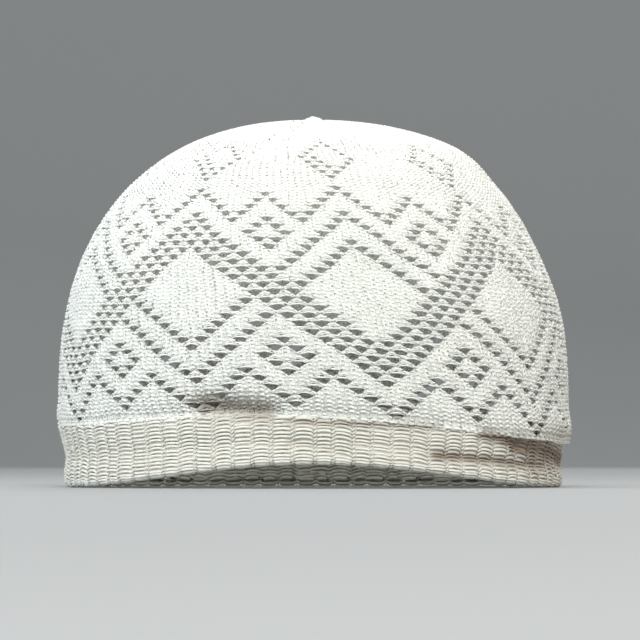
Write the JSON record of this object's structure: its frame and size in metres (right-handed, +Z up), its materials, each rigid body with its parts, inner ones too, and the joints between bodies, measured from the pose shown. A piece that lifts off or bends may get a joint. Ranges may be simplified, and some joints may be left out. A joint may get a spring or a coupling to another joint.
{
  "type": "knitted prayer cap",
  "caption": "Brimless domed knitted prayer cap: a crown pierced by an eyelet lattice of diamonds and zigzags, over a doubled band that grips the brow.",
  "frame": {"origin": "on the surface that the rim rests on, under the middle of the cap", "axes": "+Z up to the gathered top, -Y out of the front over the brow, +X to the right as seen from the front"},
  "size_m": [0.1737, 0.1819, 0.125],
  "materials": {
    "crown_yarn": "matte white cotton knit",
    "band_yarn": "matte ivory cotton knit"
  },
  "bodies": {
    "root": {"crown": "crown_yarn", "band": "band_yarn"}
  },
  "joints": []
}
